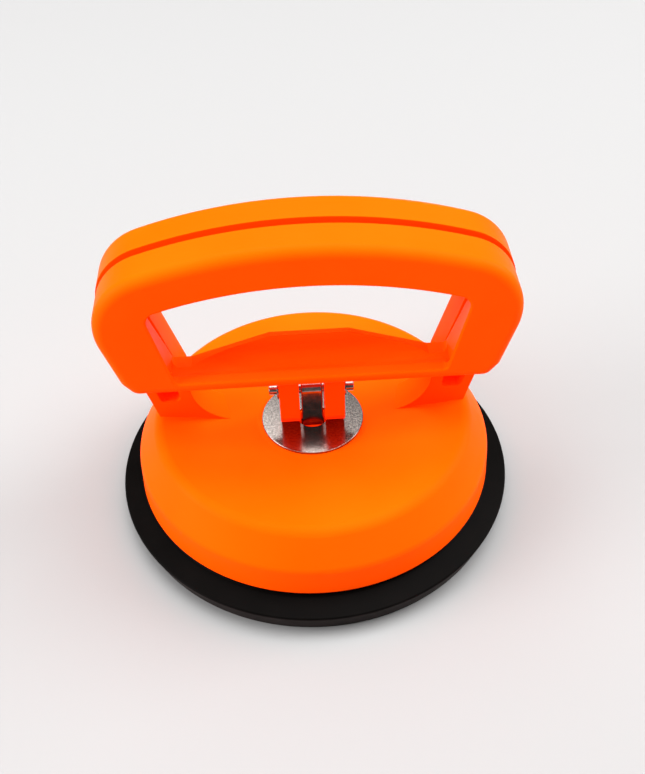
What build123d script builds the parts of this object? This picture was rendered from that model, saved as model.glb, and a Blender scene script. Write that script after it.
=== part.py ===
from build123d import *
from math import cos, radians, sin
import os

# Single-cup vacuum lifter. Millimetres, +Z up, origin on the cup's axis at the surface that it sits on.
# The handles lie across X. The lever is the handle on the -Y side, and it stands upright, locked.

# Rubber pad
PAD_RADIUS = 59.8
PAD_FOOT_RADIUS = 57.4
PAD_RIM_HEIGHT = 6.8
PAD_RIM_ROUND = 0.5
LIP_INNER_RADIUS = 47.0
CHAMBER_HEIGHT = 4.6
COLLAR_RADIUS = 52.5
COLLAR_FOOT = 8.4
COLLAR_INNER_RADIUS = 46.0
WEB_OUTER_RADIUS = 42.0
WEB_OUTER_HEIGHT = 6.0
WEB_INNER_HEIGHT = 8.8
BOSS_RADIUS = 15.0
BOSS_HEIGHT = 13.5

# Base shell
BASE_BOTTOM = 10.4
BASE_RADIUS = 53.3
SKIRT_TOP = 19.0
SKIRT_DRAFT = 0.4
RIM_RADIUS = 46.4
RIM_HEIGHT = 29.2
SEAT_RADIUS = 16.8
SEAT_HEIGHT = 25.2
SHELL_WALL = 2.8
SHOULDER_ROUND = 3.6
SLEEVE_RADIUS = 19.0
SLEEVE_WALL = 2.2
SLEEVE_BOTTOM = 16.0
BASE_RIBS = 8
RIB_THICKNESS = 2.0
RIB_BOTTOM = 13.0
SLOT_LENGTH = 6.2
SLOT_WIDTH = 6.9
SLOT_ROUND = 1.0

# Both handle loops
CROWN_HEIGHT = 96.9
CROWN_RADIUS = 143.0
CROWN_HALF_WIDTH = 60.5
CORNER_ROUND = 18.0
FIXED_GRIP_DEPTH = 11.8
LEVER_GRIP_DEPTH = 11.2
OPENING_RADIUS = 130.0
OPENING_ROUND = 3.6
OPENING_FOOT_ROUND = 1.5
LOOP_THICKNESS = 11.7
LOOP_WALL = 2.8
OUTER_ROUND = 3.0
FIXED_INNER_ROUND = 1.3
LEVER_INNER_ROUND = 0.6
CORE_DEPTH = LOOP_THICKNESS - LOOP_WALL
CORE_ROUND = 1.5

# Fixed handle
FIXED_FRONT = 0.4
FIXED_BACK = FIXED_FRONT + LOOP_THICKNESS
FOOT_HALF_WIDTH = 45.2
FOOT_HEIGHT = 27.5
FOOT_ROOT = 24.3
FOOT_FILLET = 14.0
FOOT_TOE_HALF_WIDTH = 21.0
FOOT_SINK = 0.05
FOOT_CORE_BOTTOM = 34.8
FIXED_FRONT_OPENING_HALF_WIDTH = 46.2
FIXED_FRONT_SIDE = 35.6
FIXED_BACK_OPENING_HALF_WIDTH = 46.7
FIXED_BACK_SIDE = 36.3
KNEE_HEIGHT = 42.5
KNEE_ROUND = 10.0

# Lever handle
LEVER_FRONT = -14.2
LEVER_BACK = LEVER_FRONT + LOOP_THICKNESS
LEG_BOTTOM = 50.8
LEG_ROUND = 3.5
FRONT_OPENING_HALF_WIDTH = 42.4
BACK_OPENING_HALF_WIDTH = 46.2
BAR_TOP = 54.8
BAR_FRONT_HALF_WIDTH = 37.0
BAR_BACK_HALF_WIDTH = 38.3
HUMP_TOP = 62.0
HUMP_HALF_WIDTH = 11.0
HUMP_FOOT = 33.0
HUMP_SHOULDER = 54.8
HUMP_WALL = 1.8
SCOOP_RADIUS = 4.5
SCOOP_DIP = 0.4
SCOOP_HALF_LENGTH = 38.5
LEVER_CORE_BOTTOM = 58.0
EAR_GAP = 7.4
EAR_WIDTH = 5.7
EAR_BACK = 4.6
EAR_ROUND = 1.4

# Cam and pivot: the support height falls by CAM_RATE for each radian that the lever turns
PIVOT_HEIGHT = 37.7
PIN_RADIUS = 1.5
PIN_LENGTH = 25.0
PIN_BORE = 0.8
PIN_BORE_DEPTH = 2.5
PIN_CLEARANCE = 0.05
CAM_RATE = 2.4
CAM_CLEARANCE = 0.15
CAM_END = 72
CAM_STEP = 12

# Steel pieces
WASHER_RADIUS = 15.3
WASHER_HOLE = 4.6
WASHER_THICKNESS = 0.8
STRAP_WIDTH = 6.2
STRAP_THICKNESS = 1.0
STRAP_FOOT = 4.0
PLATE_RADIUS = 12.0
PLATE_THICKNESS = 1.6
PLATE_BOTTOM = 8.8
RETAINER_RADIUS = 3.0
RETAINER_THICKNESS = 0.5
RETAINER_SLOT = 0.6
RETAINER_SLOTS = 6
SHEET_ROUND = 0.2
STRAP_ROUND = 0.35
FIT_GAP = 0.1


def crown_point(top, radius, x):
    """The point at x of an arc that is centred on Z and reaches up to top."""
    return x, top - radius + (radius**2 - x**2) ** 0.5


def dish_height(radius):
    """The height of the base's dished top, at a distance from the axis."""
    return SEAT_HEIGHT + (radius - SEAT_RADIUS) * (RIM_HEIGHT - SEAT_HEIGHT) / (RIM_RADIUS - SEAT_RADIUS)


CROWN_END = crown_point(CROWN_HEIGHT, CROWN_RADIUS, CROWN_HALF_WIDTH)
WASHER_TOP = SEAT_HEIGHT + WASHER_THICKNESS
CAM_HEIGHT = PIVOT_HEIGHT - WASHER_TOP - CAM_CLEARANCE
STRAP_INNER = PIN_RADIUS + PIN_CLEARANCE
STRAP_OUTER = STRAP_INNER + STRAP_THICKNESS
CHAMBER_RADIUS = (LIP_INNER_RADIUS**2 + CHAMBER_HEIGHT**2) / (2 * CHAMBER_HEIGHT)

os.makedirs("parts", exist_ok=True)


def finish(part, label):
    part.label = label
    export_step(part, f"parts/{label}.step")


def corners_at(sketch, x, z):
    """The two mirrored vertices of a handle outline at x and z."""
    return [v for v in sketch.vertices() if abs(abs(v.X) - x) < 0.01 and abs(v.Y - z) < 0.01]


def arch(radius, corners, rounds):
    """A symmetric outline: an arc over the top, straight runs down through the corners, some rounded."""
    x, z = corners[0]
    with BuildSketch() as outline:
        with BuildLine():
            RadiusArc((-x, z), (x, z), radius)
            Polyline(*corners, *[(-u, w) for u, w in reversed(corners)])
        make_face()
        for corner, size in rounds:
            fillet(corners_at(outline, *corner), size)
    return outline.sketch


def channel(outline, opening, bottom):
    """The lightening channel of a handle: its loop inset by the wall, down to a bottom height."""
    with BuildSketch() as section:
        add(outline)
        offset(amount=-LOOP_WALL, kind=Kind.INTERSECTION, mode=Mode.REPLACE)
        offset(opening, amount=LOOP_WALL, kind=Kind.INTERSECTION, mode=Mode.SUBTRACT)
        with Locations((0, bottom)):
            Rectangle(2 * PAD_RADIUS, PAD_RADIUS, align=(Align.CENTER, Align.MAX), mode=Mode.SUBTRACT)
        fillet(section.vertices().group_by(Axis.Y)[0], CORE_ROUND)
    return section.sketch


def rim_edges(handle, y, floor):
    """The edges round a handle's closed face at y: its outer rim, then its opening's rim above floor."""
    edges = [e for e in handle.edges() if abs((e @ 0.5).Y - y) < 0.01]
    inner = [
        e
        for e in edges
        if floor < (e @ 0.5).Z < CROWN_HEIGHT - FIXED_GRIP_DEPTH / 2
        and abs((e @ 0.5).X) < FIXED_BACK_OPENING_HALF_WIDTH
    ]
    return [e for e in edges if e not in inner], inner


def cam_point(degrees):
    """A point of the ears' working edge. Its support height falls evenly with the angle: an involute."""
    angle = radians(degrees)
    height = CAM_HEIGHT - CAM_RATE * angle
    y = CAM_RATE * cos(angle) - height * sin(angle)
    z = PIVOT_HEIGHT - height * cos(angle) - CAM_RATE * sin(angle)
    return y, z


# ---- Outlines of the two loops, in the X-Z plane ----

def finger_opening(grip_depth, half_width, lower_corners, rounds):
    """A finger opening grip_depth below the crown, as wide as half_width at its upper corners."""
    upper = crown_point(CROWN_HEIGHT - grip_depth, OPENING_RADIUS, half_width)
    return arch(OPENING_RADIUS, [upper, *lower_corners], [(upper, OPENING_ROUND), *rounds])


def footed_opening(half_width, side):
    """The fixed handle's finger opening: upright sides below a knee, with a fillet into each foot's toe."""
    knee = (side, KNEE_HEIGHT)
    foot = (side, dish_height(side) - FOOT_SINK)
    corners = [knee, foot, FOOT_TOE]
    rounds = [(knee, KNEE_ROUND), (foot, FOOT_FILLET)]
    return finger_opening(FIXED_GRIP_DEPTH, half_width, corners, rounds)


LEG_SIDE = (52.0, 54.9)
LEG_CORNER = (48.8, LEG_BOTTOM)
lever_outline = arch(
    CROWN_RADIUS,
    [CROWN_END, LEG_SIDE, LEG_CORNER],
    [(CROWN_END, CORNER_ROUND), (LEG_SIDE, LEG_ROUND), (LEG_CORNER, LEG_ROUND)],
)
BAR_FRONT_END = (BAR_FRONT_HALF_WIDTH, BAR_TOP)
BAR_BACK_END = (BAR_BACK_HALF_WIDTH, BAR_TOP)
lever_front_opening = finger_opening(
    LEVER_GRIP_DEPTH, FRONT_OPENING_HALF_WIDTH, [BAR_FRONT_END], [(BAR_FRONT_END, OPENING_FOOT_ROUND)]
)
lever_back_opening = finger_opening(
    LEVER_GRIP_DEPTH, BACK_OPENING_HALF_WIDTH, [BAR_BACK_END], [(BAR_BACK_END, OPENING_FOOT_ROUND)]
)

FOOT_SIDE = (FOOT_HALF_WIDTH, FOOT_HEIGHT)
FOOT_BOTTOM = (FOOT_HALF_WIDTH - 0.6, FOOT_ROOT)
FOOT_TOE = (FOOT_TOE_HALF_WIDTH, dish_height(FOOT_TOE_HALF_WIDTH) - FOOT_SINK)
fixed_outline = arch(
    CROWN_RADIUS,
    [CROWN_END, FOOT_SIDE, FOOT_BOTTOM],
    [(CROWN_END, CORNER_ROUND)],
)
fixed_front_opening = footed_opening(FIXED_FRONT_OPENING_HALF_WIDTH, FIXED_FRONT_SIDE)
fixed_back_opening = footed_opening(FIXED_BACK_OPENING_HALF_WIDTH, FIXED_BACK_SIDE)


# ---- Base shell with the fixed handle ----

with BuildPart() as base_shell:
    # The handle loop, with a drafted finger opening and its rims rounded on the closed face only
    with BuildSketch(Plane.XZ.offset(-FIXED_FRONT)):
        add(fixed_outline)
        with Locations((0, FOOT_ROOT)):
            Rectangle(2 * FOOT_TOE_HALF_WIDTH, 2 * (FOOT_TOE[1] - FOOT_ROOT), mode=Mode.SUBTRACT)
    extrude(amount=-LOOP_THICKNESS)
    with BuildSketch(Plane.XZ.offset(-FIXED_FRONT)):
        add(fixed_front_opening)
    with BuildSketch(Plane.XZ.offset(-FIXED_BACK)):
        add(fixed_back_opening)
    loft(mode=Mode.SUBTRACT)
    outer_rim, inner_rim = rim_edges(base_shell, FIXED_BACK, FOOT_HEIGHT)
    fillet([e for e in outer_rim if (e @ 0.5).Z > FOOT_HEIGHT], OUTER_ROUND)
    fillet(inner_rim, FIXED_INNER_ROUND)

    # The channel that lightens the handle, open on the face that meets the lever
    with BuildSketch(Plane.XZ.offset(-FIXED_FRONT)):
        add(channel(fixed_outline, fixed_back_opening, FOOT_CORE_BOTTOM))
    extrude(amount=-CORE_DEPTH, mode=Mode.SUBTRACT)

    # The round shell: skirt, sloping shoulder, and a shallow dish down to the washer's seat
    with BuildSketch(Plane.XZ) as shell_section:
        with BuildLine():
            Polyline(
                (0, SEAT_HEIGHT),
                (SEAT_RADIUS, SEAT_HEIGHT),
                (RIM_RADIUS, RIM_HEIGHT),
                (BASE_RADIUS - SKIRT_DRAFT, SKIRT_TOP),
                (BASE_RADIUS, BASE_BOTTOM),
                (BASE_RADIUS - SHELL_WALL, BASE_BOTTOM),
                (BASE_RADIUS - SKIRT_DRAFT - SHELL_WALL, SKIRT_TOP - SHELL_WALL / 2),
                (RIM_RADIUS - SHELL_WALL / 2, RIM_HEIGHT - SHELL_WALL),
                (SEAT_RADIUS, SEAT_HEIGHT - SHELL_WALL),
                (0, SEAT_HEIGHT - SHELL_WALL),
                close=True,
            )
        make_face()
        fillet(shell_section.vertices().group_by(Axis.Y)[-1], SHOULDER_ROUND)
        fillet([v for v in shell_section.vertices() if abs(v.Y - SKIRT_TOP) < 0.01], SHOULDER_ROUND)
    revolve(axis=Axis.Z)

    # Guide sleeve for the pad's boss, and ribs from it to the skirt
    with BuildSketch(Plane.XY.offset(SLEEVE_BOTTOM)):
        Circle(SLEEVE_RADIUS)
        Circle(SLEEVE_RADIUS - SLEEVE_WALL, mode=Mode.SUBTRACT)
    extrude(amount=SEAT_HEIGHT - SLEEVE_BOTTOM - SHELL_WALL / 2)
    for rib in range(BASE_RIBS):
        with BuildSketch(Plane.XZ.rotated((0, 0, (rib + 0.5) * 360 / BASE_RIBS))):
            with BuildLine():
                Polyline(
                    (SLEEVE_RADIUS - SLEEVE_WALL / 2, SLEEVE_BOTTOM),
                    (BASE_RADIUS - SHELL_WALL / 2, RIB_BOTTOM),
                    (BASE_RADIUS - SHELL_WALL / 2, SKIRT_TOP),
                    (RIM_RADIUS - 1, RIM_HEIGHT - SHELL_WALL / 2),
                    (SLEEVE_RADIUS - SLEEVE_WALL / 2, SEAT_HEIGHT - SHELL_WALL / 2),
                    close=True,
                )
            make_face()
        extrude(amount=RIB_THICKNESS / 2, both=True)

    # Slot for the strap
    with BuildSketch(Plane.XY.offset(SEAT_HEIGHT)):
        RectangleRounded(SLOT_WIDTH, SLOT_LENGTH, SLOT_ROUND)
    extrude(amount=-2 * SHELL_WALL, mode=Mode.SUBTRACT)
finish(base_shell.part, "base_shell")


# ---- Lever handle: loop, scooped cross bar and two cam ears ----

with BuildPart() as lever_handle:
    with BuildSketch(Plane.XZ.offset(-LEVER_FRONT)):
        add(lever_outline)
    extrude(amount=-LOOP_THICKNESS)
    with BuildSketch(Plane.XZ.offset(-LEVER_FRONT)):
        add(lever_front_opening)
    with BuildSketch(Plane.XZ.offset(-LEVER_BACK)):
        add(lever_back_opening)
    loft(mode=Mode.SUBTRACT)
    outer_rim, inner_rim = rim_edges(lever_handle, LEVER_FRONT, LEG_BOTTOM + 1)
    fillet(outer_rim, OUTER_ROUND)
    fillet(inner_rim, LEVER_INNER_ROUND)

    with BuildSketch(Plane.XZ.offset(-LEVER_BACK)):
        add(channel(lever_outline, lever_back_opening, LEVER_CORE_BOTTOM))
    extrude(amount=CORE_DEPTH, mode=Mode.SUBTRACT)

    # The raised back of the cross bar, with a concave scoop in front of it
    with BuildSketch(Plane.XZ.offset(-LEVER_BACK)):
        with BuildLine():
            Polyline(
                (-SCOOP_HALF_LENGTH, LEG_BOTTOM + 1),
                (-SCOOP_HALF_LENGTH, HUMP_SHOULDER),
                (-HUMP_FOOT, HUMP_SHOULDER),
                (-HUMP_HALF_WIDTH, HUMP_TOP),
                (HUMP_HALF_WIDTH, HUMP_TOP),
                (HUMP_FOOT, HUMP_SHOULDER),
                (SCOOP_HALF_LENGTH, HUMP_SHOULDER),
                (SCOOP_HALF_LENGTH, LEG_BOTTOM + 1),
                close=True,
            )
        make_face()
    extrude(amount=HUMP_WALL + SCOOP_RADIUS)
    with BuildSketch(Plane.YZ.offset(-SCOOP_HALF_LENGTH)):
        with Locations((LEVER_BACK - HUMP_WALL - SCOOP_RADIUS, BAR_TOP - SCOOP_DIP + SCOOP_RADIUS)):
            Circle(SCOOP_RADIUS)
            Rectangle(2 * SCOOP_RADIUS, 2 * SCOOP_RADIUS, align=(Align.CENTER, Align.MIN))
    extrude(amount=2 * SCOOP_HALF_LENGTH, mode=Mode.SUBTRACT)

    # Ears: the lower end is the cam, a flat sole that runs into an involute nose
    with BuildSketch(Plane.YZ.offset(EAR_GAP / 2)) as ear_section:
        with BuildLine():
            nose = Spline(*[cam_point(angle) for angle in range(0, CAM_END + 1, CAM_STEP)])
            Polyline(
                nose @ 1,
                ((nose @ 1).X, LEG_BOTTOM + 1),
                (LEVER_BACK, LEG_BOTTOM + 1),
                (EAR_BACK, PIVOT_HEIGHT + EAR_BACK),
                (EAR_BACK, PIVOT_HEIGHT - CAM_HEIGHT),
                nose @ 0,
            )
        make_face()
        sole_end = ear_section.vertices().group_by(Axis.Y)[0].sort_by(Axis.X)[-1]
        fillet(sole_end, EAR_ROUND)
        with Locations((0, PIVOT_HEIGHT)):
            Circle(PIN_RADIUS + PIN_CLEARANCE, mode=Mode.SUBTRACT)
    extrude(amount=EAR_WIDTH)
    with BuildSketch(Plane.YZ.offset(-EAR_GAP / 2)):
        add(ear_section.sketch_local)
    extrude(amount=-EAR_WIDTH)
finish(lever_handle.part, "lever_handle")


# ---- Steel pieces at the pivot ----

with BuildPart() as wear_washer:
    with BuildSketch(Plane.XY.offset(SEAT_HEIGHT)):
        Circle(WASHER_RADIUS)
        Circle(WASHER_HOLE, mode=Mode.SUBTRACT)
    extrude(amount=WASHER_THICKNESS)
    fillet(wear_washer.edges().group_by(Axis.Z)[-1], SHEET_ROUND)
finish(wear_washer.part, "wear_washer")

# A strip bent over the pin, with both feet turned outwards under the plate in the rubber boss
STRAP_HALF_SPAN = STRAP_INNER + STRAP_THICKNESS / 2
FOOT_MIDDLE = PLATE_BOTTOM - FIT_GAP - STRAP_THICKNESS / 2
FOOT_TIP = STRAP_HALF_SPAN + STRAP_FOOT
with BuildPart() as lift_strap:
    with BuildLine(Plane.YZ) as strap_path:
        FilletPolyline(
            (-FOOT_TIP, FOOT_MIDDLE),
            (-STRAP_HALF_SPAN, FOOT_MIDDLE),
            (-STRAP_HALF_SPAN, PIVOT_HEIGHT),
            radius=STRAP_THICKNESS,
        )
        ThreePointArc(
            (-STRAP_HALF_SPAN, PIVOT_HEIGHT),
            (0, PIVOT_HEIGHT + STRAP_HALF_SPAN),
            (STRAP_HALF_SPAN, PIVOT_HEIGHT),
        )
        FilletPolyline(
            (STRAP_HALF_SPAN, PIVOT_HEIGHT),
            (STRAP_HALF_SPAN, FOOT_MIDDLE),
            (FOOT_TIP, FOOT_MIDDLE),
            radius=STRAP_THICKNESS,
        )
    with BuildSketch(Plane(strap_path.line @ 0, x_dir=(1, 0, 0), z_dir=strap_path.line % 0)):
        RectangleRounded(STRAP_WIDTH, STRAP_THICKNESS, STRAP_ROUND)
    sweep(path=strap_path.line)
finish(lift_strap.part, "lift_strap")

with BuildPart() as pivot_pin:
    with BuildSketch(Plane.YZ.offset(-PIN_LENGTH / 2)):
        with Locations((0, PIVOT_HEIGHT)):
            Circle(PIN_RADIUS)
    extrude(amount=PIN_LENGTH)
    ends = pivot_pin.faces().filter_by(Axis.X)
    chamfer(ends.edges(), SHEET_ROUND)
    for end in (-1, 1):
        with BuildSketch(Plane.YZ.offset(end * PIN_LENGTH / 2)):
            with Locations((0, PIVOT_HEIGHT)):
                Circle(PIN_BORE)
        extrude(amount=-end * PIN_BORE_DEPTH, mode=Mode.SUBTRACT)
finish(pivot_pin.part, "pivot_pin")

for side, label in ((-1, "pin_retainer_left"), (1, "pin_retainer_right")):
    inner_face = side * (EAR_GAP / 2 + EAR_WIDTH + 2 * FIT_GAP)
    with BuildPart() as retainer:
        with BuildSketch(Plane.YZ.offset(inner_face)):
            with Locations((0, PIVOT_HEIGHT)):
                Circle(RETAINER_RADIUS)
                Circle(PIN_RADIUS, mode=Mode.SUBTRACT)
                with PolarLocations((PIN_RADIUS + RETAINER_RADIUS) / 2 - RETAINER_SLOT, RETAINER_SLOTS):
                    Rectangle(RETAINER_SLOT, RETAINER_SLOT, mode=Mode.SUBTRACT)
        extrude(amount=side * RETAINER_THICKNESS)
    finish(retainer.part, label)


# ---- Rubber pad and the plate moulded into its boss ----

with BuildPart() as insert_plate:
    with BuildSketch(Plane.XY.offset(PLATE_BOTTOM)):
        Circle(PLATE_RADIUS)
        for side in (-1, 1):
            with Locations((0, side * (STRAP_HALF_SPAN + STRAP_THICKNESS / 2))):
                Rectangle(STRAP_WIDTH + 2 * FIT_GAP, 2 * STRAP_THICKNESS + FIT_GAP, mode=Mode.SUBTRACT)
    extrude(amount=PLATE_THICKNESS)
finish(insert_plate.part, "insert_plate")

with BuildPart() as rubber_pad:
    with BuildSketch(Plane.XZ) as pad_section:
        with BuildLine():
            RadiusArc((0, CHAMBER_HEIGHT), (LIP_INNER_RADIUS, 0), CHAMBER_RADIUS)
            Polyline(
                (LIP_INNER_RADIUS, 0),
                (PAD_FOOT_RADIUS, 0),
                (PAD_RADIUS, PAD_RIM_HEIGHT),
                (COLLAR_RADIUS, COLLAR_FOOT),
                (COLLAR_RADIUS, BASE_BOTTOM),
                (COLLAR_INNER_RADIUS, BASE_BOTTOM),
                (WEB_OUTER_RADIUS, WEB_OUTER_HEIGHT),
                (BOSS_RADIUS, WEB_INNER_HEIGHT),
                (BOSS_RADIUS, BOSS_HEIGHT),
                (0, BOSS_HEIGHT),
                (0, CHAMBER_HEIGHT),
            )
        make_face()
        rim = [v for v in pad_section.vertices() if v.X > PAD_FOOT_RADIUS - 0.01]
        fillet(rim, PAD_RIM_ROUND)
    revolve(axis=Axis.Z)
    # The space that the plate, the strap's feet and its two legs fill
    with BuildSketch(Plane.XY.offset(PLATE_BOTTOM - FIT_GAP)):
        Circle(PLATE_RADIUS + FIT_GAP)
    extrude(amount=PLATE_THICKNESS + 2 * FIT_GAP, mode=Mode.SUBTRACT)
    with BuildSketch(Plane.XY.offset(PLATE_BOTTOM - FIT_GAP)):
        Rectangle(STRAP_WIDTH + 2 * FIT_GAP, 2 * (FOOT_TIP + FIT_GAP))
    extrude(amount=-STRAP_THICKNESS - FIT_GAP, mode=Mode.SUBTRACT)
    with BuildSketch(Plane.XY.offset(BOSS_HEIGHT)):
        Rectangle(STRAP_WIDTH + 2 * FIT_GAP, 2 * (STRAP_OUTER + FIT_GAP))
    extrude(amount=PLATE_BOTTOM - BOSS_HEIGHT, mode=Mode.SUBTRACT)
finish(rubber_pad.part, "rubber_pad")
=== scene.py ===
from math import cos, pi, radians, sin, tan

import bmesh
import bpy
from mathutils import Matrix, Vector


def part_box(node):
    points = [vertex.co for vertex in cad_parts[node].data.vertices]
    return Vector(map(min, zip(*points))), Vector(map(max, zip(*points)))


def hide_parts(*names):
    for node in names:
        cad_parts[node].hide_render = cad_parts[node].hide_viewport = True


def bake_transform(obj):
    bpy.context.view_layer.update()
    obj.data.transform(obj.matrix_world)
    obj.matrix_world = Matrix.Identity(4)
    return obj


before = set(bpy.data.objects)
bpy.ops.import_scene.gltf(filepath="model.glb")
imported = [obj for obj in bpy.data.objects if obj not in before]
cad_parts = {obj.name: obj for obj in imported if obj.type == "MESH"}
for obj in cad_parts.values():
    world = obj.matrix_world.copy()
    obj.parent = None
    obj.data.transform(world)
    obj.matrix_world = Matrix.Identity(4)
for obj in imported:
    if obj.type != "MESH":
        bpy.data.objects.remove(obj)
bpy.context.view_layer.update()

MM = 0.001

# Camera: the turn, elevation and roll of the view, and the point on the object that it centres on
CAMERA_TURN = radians(-1.83)
CAMERA_ELEVATION = radians(43.35)
CAMERA_ROLL = radians(-2.05)
CAMERA_DISTANCE = 306.2 * MM
CAMERA_TARGET = Vector((3.58, 8.58, 29.53)) * MM
CAMERA_LENS = 46.5

# Rubber pad, in millimetres: the sizes of its half section that the CAD nodes' boxes don't give
PAD_LIP_RADIUS = 47.0
PAD_CHAMBER_HEIGHT = 4.6
PAD_FOOT_RADIUS = 57.4
PAD_RIM_HEIGHT = 6.8
PAD_COLLAR_RADIUS = 52.5
PAD_COLLAR_INNER_RADIUS = 46.0
PAD_COLLAR_HEIGHT = 2.0
PAD_WEB_RADIUS = 42.0
PAD_WEB_HEIGHTS = (6.0, 8.8)
PAD_BOSS_RADIUS = 15.0
PAD_ROUND = 0.6

# Rubber pad, in millimetres: the depth below its rim in which the painted highlight on its bevel fades out
PAD_BEVEL_HIGHLIGHT_DEPTH = 0.7

# Rubber pad: the fineness of its mesh
PAD_SEGMENTS = 256
PAD_DOME_STEPS = 24
PAD_ROUND_STEPS = 6
PAD_SHARP_ANGLE = radians(30)
MERGE_DISTANCE = 0.001 * MM

# Floor, and the place that the lights point at, in metres
FLOOR_HALF_SIZE = 4.0
LIGHT_TARGET = (0, 0, 0.03)


# ---- Materials ----

def new_material(name):
    material = bpy.data.materials.new(name)
    material.use_nodes = True
    tree = material.node_tree
    shader = tree.nodes["Principled BSDF"]
    return material, tree, shader


def noise(tree, coordinates, scale, detail=2.0, roughness=0.5):
    node = tree.nodes.new("ShaderNodeTexNoise")
    node.inputs["Scale"].default_value = scale
    node.inputs["Detail"].default_value = detail
    node.inputs["Roughness"].default_value = roughness
    tree.links.new(coordinates, node.inputs["Vector"])
    return node.outputs["Fac"]


def spread(tree, value, low, high):
    """Maps a 0 to 1 value to low to high."""
    node = tree.nodes.new("ShaderNodeMapRange")
    node.inputs["To Min"].default_value = low
    node.inputs["To Max"].default_value = high
    tree.links.new(value, node.inputs["Value"])
    return node.outputs["Result"]


def colour_ramp(tree, value, stops):
    """A colour ramp with two stops, each given as a position and a colour."""
    node = tree.nodes.new("ShaderNodeValToRGB")
    for stop, (position, colour) in zip(node.color_ramp.elements, stops):
        stop.position = position
        stop.color = (*colour, 1.0)
    tree.links.new(value, node.inputs["Fac"])
    return node.outputs["Color"]


def bump(tree, height, strength, distance, normal=None):
    node = tree.nodes.new("ShaderNodeBump")
    node.inputs["Strength"].default_value = strength
    node.inputs["Distance"].default_value = distance
    tree.links.new(height, node.inputs["Height"])
    if normal:
        tree.links.new(normal, node.inputs["Normal"])
    return node.outputs["Normal"]


def colour_mix(tree, factor, low, high):
    """The colour low where factor is 0, and high where it is 1."""
    node = tree.nodes.new("ShaderNodeMix")
    node.data_type = "RGBA"
    tree.links.new(factor, node.inputs["Factor"])
    tree.links.new(low, node.inputs["A"])
    tree.links.new(high, node.inputs["B"])
    return node.outputs["Result"]


def soft_edges(tree, radius):
    """Normals that round the edges off, as light sees them."""
    node = tree.nodes.new("ShaderNodeBevel")
    node.samples = 6
    node.inputs["Radius"].default_value = radius
    return node.outputs["Normal"]


def object_coordinates(tree):
    return tree.nodes.new("ShaderNodeTexCoord").outputs["Object"]


def height_step(tree, place, low, high):
    """0 below the height low, 1 above high, and a smooth step between."""
    height = tree.nodes.new("ShaderNodeSeparateXYZ")
    tree.links.new(place, height.inputs["Vector"])
    node = tree.nodes.new("ShaderNodeMapRange")
    node.interpolation_type = "SMOOTHSTEP"
    node.inputs["From Min"].default_value = low
    node.inputs["From Max"].default_value = high
    tree.links.new(height.outputs["Z"], node.inputs["Value"])
    return node.outputs["Result"]


def orange_plastic():
    """Moulded plastic with faint flow marks in its colour and a very fine grain.

    Its low red glow is painted light: an emission, with a trace of green, that keeps the red up and lifts
    the shaded faces, so the red doesn't fall off in shadow.
    """
    material, tree, shader = new_material("orange_moulding")
    place = object_coordinates(tree)
    flow = noise(tree, place, 28.0, 3.0)
    colour = colour_ramp(tree, flow, [(0.3, (1.0, 0.1, 0.0)), (0.7, (1.0, 0.115, 0.001))])
    tree.links.new(colour, shader.inputs["Base Color"])
    wear = noise(tree, place, 160.0, 3.0)
    tree.links.new(spread(tree, wear, 0.36, 0.46), shader.inputs["Roughness"])
    grain = noise(tree, place, 2600.0, 2.0)
    tree.links.new(bump(tree, grain, 0.06, 0.00004, soft_edges(tree, 0.00035)), shader.inputs["Normal"])
    shader.inputs["Specular IOR Level"].default_value = 0.02
    shader.inputs["Specular Tint"].default_value = (1.0, 0.45, 0.1, 1.0)
    # Painted light: a faint red glow, with a trace of green, that lifts the shaded faces
    shader.inputs["Emission Color"].default_value = (1.0, 0.006, 0.0, 1.0)
    shader.inputs["Emission Strength"].default_value = 0.4
    return material


def rubber():
    """Matt black rubber with a fine grain: plain above the rim's bevel, and painted lighter below that, as
    a painted highlight on the bevel.
    """
    material, tree, shader = new_material("black_rubber")
    place = object_coordinates(tree)
    rubber_speckle = noise(tree, place, 90.0, 4.0, 0.6)
    rubber_colour = colour_ramp(tree, rubber_speckle, [(0.35, (0.0012, 0.0009, 0.0007)), (0.75, (0.0026, 0.002, 0.0017))])
    # Painted highlight: the bevel below the rim is painted much lighter than the rest of the rubber
    painted_bevel_highlight = colour_ramp(tree, rubber_speckle, [(0.35, (0.016, 0.011, 0.01)), (0.75, (0.03, 0.022, 0.021))])
    rim = height_step(tree, place, (PAD_RIM_HEIGHT - PAD_BEVEL_HIGHLIGHT_DEPTH) * MM, PAD_RIM_HEIGHT * MM)
    tree.links.new(colour_mix(tree, rim, painted_bevel_highlight, rubber_colour), shader.inputs["Base Color"])
    tree.links.new(spread(tree, rubber_speckle, 0.45, 0.55), shader.inputs["Roughness"])
    grain = noise(tree, place, 1800.0, 2.0)
    tree.links.new(bump(tree, grain, 0.1, 0.00005), shader.inputs["Normal"])
    shader.inputs["Specular IOR Level"].default_value = 0.03
    return material


def zinc_steel():
    """Zinc-plated steel with a fine dull spangle."""
    material, tree, shader = new_material("zinc_steel")
    place = object_coordinates(tree)
    spangle = noise(tree, place, 1500.0, 4.0, 0.7)
    colour = colour_ramp(tree, spangle, [(0.3, (0.14, 0.12, 0.11)), (0.7, (0.4, 0.35, 0.32))])
    tree.links.new(colour, shader.inputs["Base Color"])
    shader.inputs["Metallic"].default_value = 1.0
    tree.links.new(spread(tree, spangle, 0.14, 0.24), shader.inputs["Roughness"])
    tree.links.new(bump(tree, spangle, 0.06, 0.00003), shader.inputs["Normal"])
    return material


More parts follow.
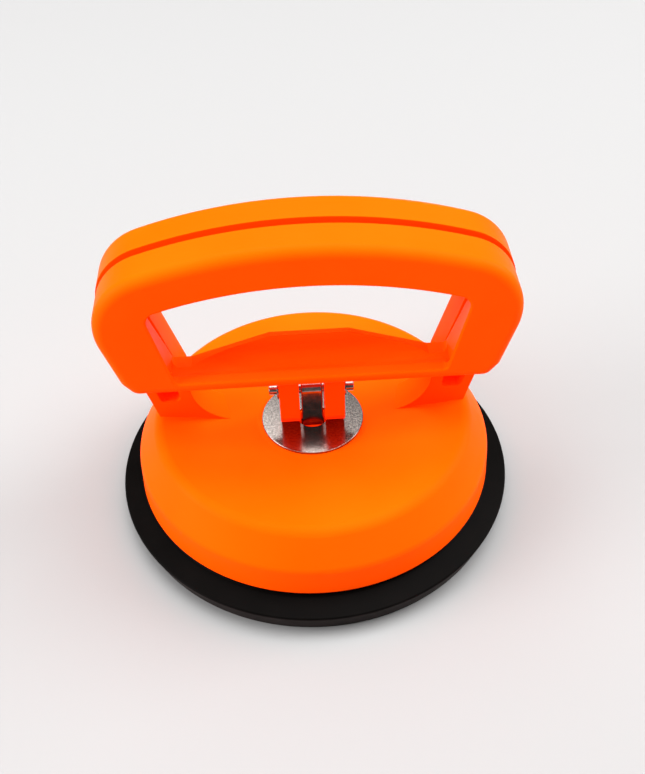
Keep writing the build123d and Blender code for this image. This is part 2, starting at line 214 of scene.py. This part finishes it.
def bright_steel():
    """Bare steel with fine marks and slightly broken edges."""
    material, tree, shader = new_material("bright_steel")
    place = object_coordinates(tree)
    scratches = noise(tree, place, 700.0, 3.0)
    colour = colour_ramp(tree, scratches, [(0.3, (0.2, 0.185, 0.175)), (0.7, (0.36, 0.33, 0.31))])
    tree.links.new(colour, shader.inputs["Base Color"])
    shader.inputs["Metallic"].default_value = 1.0
    tree.links.new(spread(tree, scratches, 0.14, 0.24), shader.inputs["Roughness"])
    tree.links.new(bump(tree, scratches, 0.05, 0.00004, soft_edges(tree, 0.00015)), shader.inputs["Normal"])
    return material


def dress(node, material):
    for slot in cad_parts[node].material_slots:
        slot.material = material


orange = orange_plastic()
steel = bright_steel()
zinc = zinc_steel()
black = rubber()
for node, material in (
    ("base_shell", orange),
    ("lever_handle", orange),
    ("wear_washer", zinc),
    ("insert_plate", zinc),
    ("lift_strap", steel),
    ("pivot_pin", steel),
    ("pin_retainer_left", steel),
    ("pin_retainer_right", steel),
):
    dress(node, material)


# ---- Rubber pad: a finer mesh of the CAD pad's outside, which bends where its boss rises and falls ----

def rounded(corners, radius, steps):
    """An open section's points, with each inner corner rounded where both of its sides are long enough."""
    points = [corners[0]]
    for before, corner, after in zip(corners, corners[1:], corners[2:]):
        back, ahead = (before - corner).normalized(), (after - corner).normalized()
        half_angle = back.angle(ahead) / 2
        reach = radius / tan(half_angle)
        if reach > min((before - corner).length, (after - corner).length) / 2:
            points.append(corner)
            continue
        centre = corner + (back + ahead).normalized() * radius / sin(half_angle)
        start = corner + back * reach - centre
        turn = start.angle_signed(corner + ahead * reach - centre)
        for step in range(steps + 1):
            arm = Matrix.Rotation(-turn * step / steps, 2) @ start
            points.append(centre + arm)
    points.append(corners[-1])
    return points


def chamber_dome():
    """The roof of the suction chamber, from its middle towards its lip: an arc of a large circle."""
    radius = (PAD_LIP_RADIUS**2 + PAD_CHAMBER_HEIGHT**2) / (2 * PAD_CHAMBER_HEIGHT)
    places = [PAD_LIP_RADIUS * step / PAD_DOME_STEPS for step in range(PAD_DOME_STEPS)]
    return [Vector((x, PAD_CHAMBER_HEIGHT - radius + (radius**2 - x**2) ** 0.5)) for x in places]


def spun_mesh(name, section, segments):
    """A mesh of a half section, in millimetres, turned round the Z axis."""
    shape = bmesh.new()
    points = [shape.verts.new((point.x * MM, 0.0, point.y * MM)) for point in section]
    lines = [shape.edges.new(pair) for pair in zip(points, points[1:])]
    bmesh.ops.spin(
        shape,
        geom=points + lines,
        axis=(0, 0, 1),
        cent=(0, 0, 0),
        angle=2 * pi,
        steps=segments,
        use_merge=True,
    )
    bmesh.ops.remove_doubles(shape, verts=shape.verts, dist=MERGE_DISTANCE)
    bmesh.ops.recalc_face_normals(shape, faces=shape.faces)
    for face in shape.faces:
        face.smooth = True
    for edge in shape.edges:
        edge.smooth = edge.calc_face_angle(0) < PAD_SHARP_ANGLE
    mesh = bpy.data.meshes.new(name)
    shape.to_mesh(mesh)
    shape.free()
    return mesh


pad_low, pad_high = (Vector(corner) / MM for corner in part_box("rubber_pad"))
base_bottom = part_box("base_shell")[0][2] / MM
dome = chamber_dome()
pad_corners = [
    dome[-1],
    Vector((PAD_LIP_RADIUS, pad_low.z)),
    Vector((PAD_FOOT_RADIUS, pad_low.z)),
    Vector((pad_high.x, PAD_RIM_HEIGHT)),
    Vector((PAD_COLLAR_RADIUS, base_bottom - PAD_COLLAR_HEIGHT)),
    Vector((PAD_COLLAR_RADIUS, base_bottom)),
    Vector((PAD_COLLAR_INNER_RADIUS, base_bottom)),
    Vector((PAD_WEB_RADIUS, PAD_WEB_HEIGHTS[0])),
    Vector((PAD_BOSS_RADIUS, PAD_WEB_HEIGHTS[1])),
    Vector((PAD_BOSS_RADIUS, pad_high.z)),
    Vector((0.0, pad_high.z)),
]
pad_section = dome[:-1] + rounded(pad_corners, PAD_ROUND, PAD_ROUND_STEPS)
pad_mesh = spun_mesh("pad_moulding", pad_section, PAD_SEGMENTS)
pad = bpy.data.objects.new("pad_moulding", pad_mesh)
bpy.context.scene.collection.objects.link(pad)
pad_mesh.materials.append(black)
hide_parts("rubber_pad")
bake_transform(pad)


# ---- Floor, light and camera ----

def area_light(name, place, target, size, watts):
    data = bpy.data.lights.new(name, "AREA")
    data.shape = "RECTANGLE"
    data.size, data.size_y = size
    data.energy = watts
    light = bpy.data.objects.new(name, data)
    light.location = place
    light.rotation_euler = (Vector(place) - Vector(target)).to_track_quat("Z", "Y").to_euler()
    bpy.context.scene.collection.objects.link(light)


floor_mesh = bpy.data.meshes.new("floor")
shape = bmesh.new()
bmesh.ops.create_grid(shape, x_segments=1, y_segments=1, size=FLOOR_HALF_SIZE)
shape.to_mesh(floor_mesh)
shape.free()
floor = bpy.data.objects.new("floor", floor_mesh)
bpy.context.scene.collection.objects.link(floor)
floor_material, _, floor_shader = new_material("pale_floor")
floor_shader.inputs["Base Color"].default_value = (0.365, 0.362, 0.362, 1.0)
floor_shader.inputs["Roughness"].default_value = 0.8
floor_shader.inputs["Specular IOR Level"].default_value = 0.1
floor_mesh.materials.append(floor_material)

area_light("overhead", (0.15, 0.22, 1.4), LIGHT_TARGET, (2.0, 1.4), 43.0)
area_light("left", (-1.3, -0.2, 0.62), LIGHT_TARGET, (0.9, 0.9), 24.0)
area_light("right", (1.3, 0.3, 0.75), LIGHT_TARGET, (0.9, 0.9), 17.0)

world = bpy.data.worlds.new("studio")
world.use_nodes = True
world.node_tree.nodes["Background"].inputs["Color"].default_value = (1.0, 0.99, 0.99, 1.0)
world.node_tree.nodes["Background"].inputs["Strength"].default_value = 0.2
bpy.context.scene.world = world
bpy.context.scene.view_settings.view_transform = "Standard"

camera_data = bpy.data.cameras.new("camera")
camera_data.lens = CAMERA_LENS
camera_data.clip_start = 0.01
camera = bpy.data.objects.new("camera", camera_data)
level = cos(CAMERA_ELEVATION)
backward = Vector((sin(CAMERA_TURN) * level, -cos(CAMERA_TURN) * level, sin(CAMERA_ELEVATION)))
aim = backward.to_track_quat("Z", "Y").to_matrix() @ Matrix.Rotation(CAMERA_ROLL, 3, "Z")
camera.matrix_world = Matrix.Translation(CAMERA_TARGET + backward * CAMERA_DISTANCE) @ aim.to_4x4()
bpy.context.scene.collection.objects.link(camera)
bpy.context.scene.camera = camera
